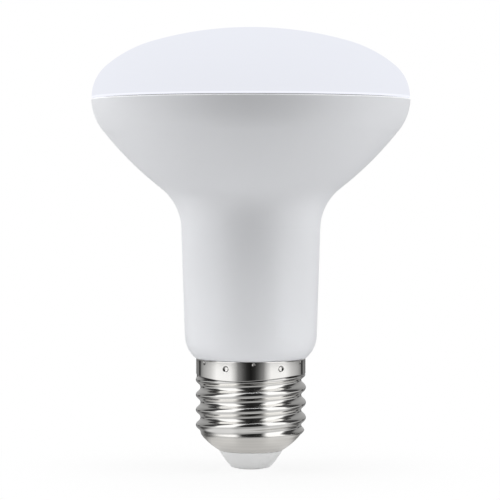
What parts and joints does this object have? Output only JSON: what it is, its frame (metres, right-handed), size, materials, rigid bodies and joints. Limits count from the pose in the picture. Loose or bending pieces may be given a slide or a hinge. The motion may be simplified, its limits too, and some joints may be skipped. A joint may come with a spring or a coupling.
{
  "type": "reflector bulb",
  "caption": "Reflector lamp with a flat-domed opal diffuser, a white flared housing with a straight neck, and a bright E27 screw cap with crimp marks.",
  "frame": {"origin": "centre of the outer face of the centre contact, on the lamp's axis", "axes": "+Z along the lamp's axis from the cap to the dome, -Y towards the front of the picture, +X to its right"},
  "size_m": [0.0762, 0.0762, 0.1055],
  "materials": {
    "opal_plastic": "satin",
    "white_plastic": "satin",
    "plated_shell": "polished",
    "cap_insulator": "matte",
    "contact_metal": "satin"
  },
  "bodies": {
    "root": {"diffuser": "opal_plastic", "housing": "white_plastic", "screw_shell": "plated_shell", "insulator": "cap_insulator", "centre_contact": "contact_metal"}
  },
  "joints": []
}
